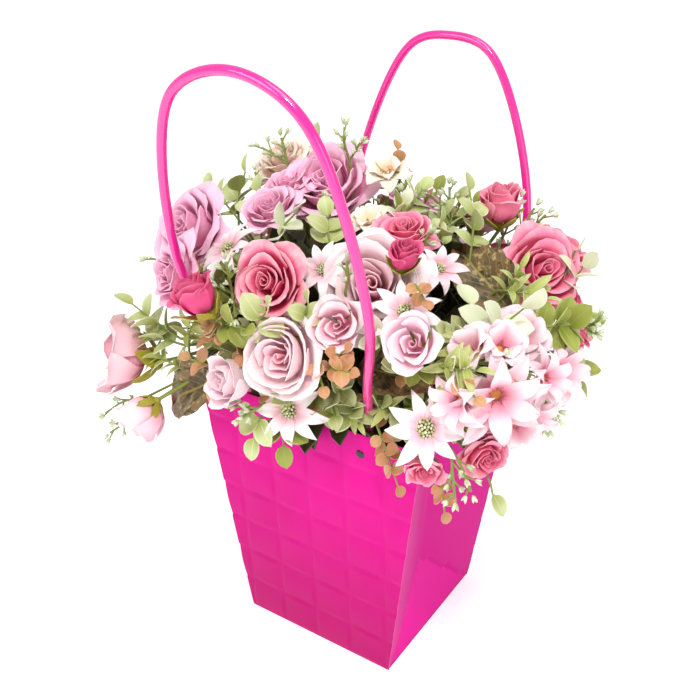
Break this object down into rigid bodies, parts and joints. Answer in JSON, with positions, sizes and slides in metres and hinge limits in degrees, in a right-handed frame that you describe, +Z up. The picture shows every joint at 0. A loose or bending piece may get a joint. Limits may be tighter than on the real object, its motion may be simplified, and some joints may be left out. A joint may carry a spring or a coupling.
{
  "type": "flower bag arrangement",
  "caption": "Tapered magenta card carrier bag with arched tube handles, filled with artificial roses, daisies, blossoms and leaf sprigs on stems set in floral foam.",
  "frame": {"origin": "centre of the bag's base, on its underside", "axes": "+Z up, +X along the wide front panel, -Y out of the front panel"},
  "size_m": [0.3251, 0.2606, 0.4264],
  "materials": {
    "card": "satin coated card in magenta",
    "handle_plastic": "glossy magenta tube",
    "rivet_metal": "domed bright metal",
    "foam": "dark green open-cell floral foam",
    "stem_plastic": "moulded green plastic, satin",
    "leaf_fabric": "printed autumn leaf fabric with raised veins",
    "petal_cream": "soft cream artificial petal cloth",
    "petal_mauve": "mauve artificial petal cloth, darker in the heart",
    "petal_white": "white petal cloth flushed pink at the foot",
    "petal_blush": "blush petal cloth, pinker in the heart",
    "petal_pink": "rose pink petal cloth with pale edges"
  },
  "bodies": {
    "root": {"bag_back_panel": "card", "bag_base_panel": "card", "bag_front_panel": "card", "blossom_right_front": "petal_white", "blossom_right_high": "petal_white", "blossom_right_low": "petal_white", "blossom_right_outer": "petal_white", "bud_blush_front": "petal_blush", "bud_pink_corner": "petal_pink", "bud_pink_left": "petal_pink", "bud_pink_middle": "petal_pink", "bud_pink_tall": "petal_pink", "daisy_back": "petal_white", "daisy_corner": "petal_white", "daisy_front_high": "petal_white", "daisy_front_low": "petal_white", "daisy_left": "petal_white", "daisy_right": "petal_white", "floral_foam": "foam", "freesia_cream_middle": "petal_cream", "freesia_cream_top": "petal_cream", "handle_back": "handle_plastic", "handle_front": "handle_plastic", "leaf_autumn_back": "leaf_fabric", "leaf_autumn_low_left": "leaf_fabric", "leaf_autumn_middle": "leaf_fabric", "leaf_autumn_right": "leaf_fabric", "rivet_back_left": "rivet_metal", "rivet_back_right": "rivet_metal", "rivet_front_left": "rivet_metal", "rivet_front_right": "rivet_metal", "rose_blush_back": "petal_blush", "rose_blush_back_left": "petal_blush", "rose_blush_front": "petal_blush", "rose_blush_hanging": "petal_blush", "rose_blush_left": "petal_blush", "rose_blush_right": "petal_blush", "rose_mauve_back": "petal_mauve", "rose_mauve_cup": "petal_mauve", "rose_mauve_left": "petal_mauve", "rose_mauve_low_left": "petal_mauve", "rose_mauve_middle": "petal_mauve", "rose_mauve_top": "petal_mauve", "rose_peach_top": "petal_cream", "rose_pink_back_left": "petal_pink", "rose_pink_corner": "petal_pink", "rose_pink_far_right": "petal_pink", "rose_pink_front": "petal_pink", "rose_pink_middle": "petal_pink", "rose_pink_outer": "petal_pink", "rose_pink_right": "petal_pink", "rose_pink_small": "petal_pink", "rose_salmon_far_right": "petal_pink", "side_gusset_left": "card", "side_gusset_right": "card", "stems_back_left": "stem_plastic", "stems_back_right": "stem_plastic", "stems_front_left": "stem_plastic", "stems_front_right": "stem_plastic"}
  },
  "joints": []
}
